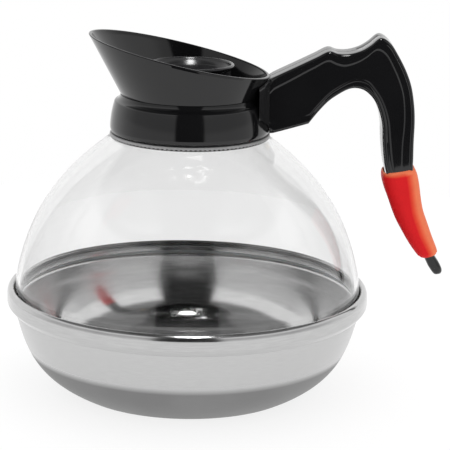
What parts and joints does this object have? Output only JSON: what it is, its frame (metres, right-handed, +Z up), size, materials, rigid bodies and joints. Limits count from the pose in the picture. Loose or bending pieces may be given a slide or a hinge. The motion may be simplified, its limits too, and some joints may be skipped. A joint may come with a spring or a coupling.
{
  "type": "coffee decanter",
  "caption": "Round clear coffee decanter: stainless base pan, black collar with a slanted pouring funnel, lift-out brew-through lid and a hooked handle with a coloured grip sleeve.",
  "frame": {"origin": "centre of the flat foot, on the surface that the decanter stands on", "axes": "+Z up along the globe's axis, +X towards the handle, pouring lip towards -X"},
  "size_m": [0.2154, 0.1784, 0.1771],
  "materials": {
    "stainless_pan": "bright inside, brushed outside, matt on the lower bowl",
    "stainless_band": "polished sheet with a rolled edge",
    "silicone": "translucent soft seal",
    "clear_globe": "clear moulded globe, smooth",
    "grey_plastic": "satin with a finely toothed edge",
    "black_plastic": "gloss moulded plastic",
    "grip_rubber": "soft orange-red sleeve, satin",
    "screw_steel": "zinc plated",
    "insert_brass": "plain"
  },
  "bodies": {
    "decanter": {"base_pan": "stainless_pan", "crimp_ring": "stainless_band", "base_seal": "silicone", "globe": "clear_globe", "neck_lock_ring": "grey_plastic", "neck_seal": "silicone", "collar": "black_plastic", "spout_funnel": "black_plastic", "handle": "black_plastic", "grip_sleeve": "grip_rubber", "handle_screw_lower": "screw_steel", "handle_insert_lower": "insert_brass", "handle_screw_upper": "screw_steel", "handle_insert_upper": "insert_brass"},
    "lid": {"brew_through_lid": "black_plastic"}
  },
  "joints": [
    {"name": "lid_lift", "type": "slide", "parent": "decanter", "child": "lid", "axis": [0, 0, 1], "range_m": [0, 0.04]}
  ]
}
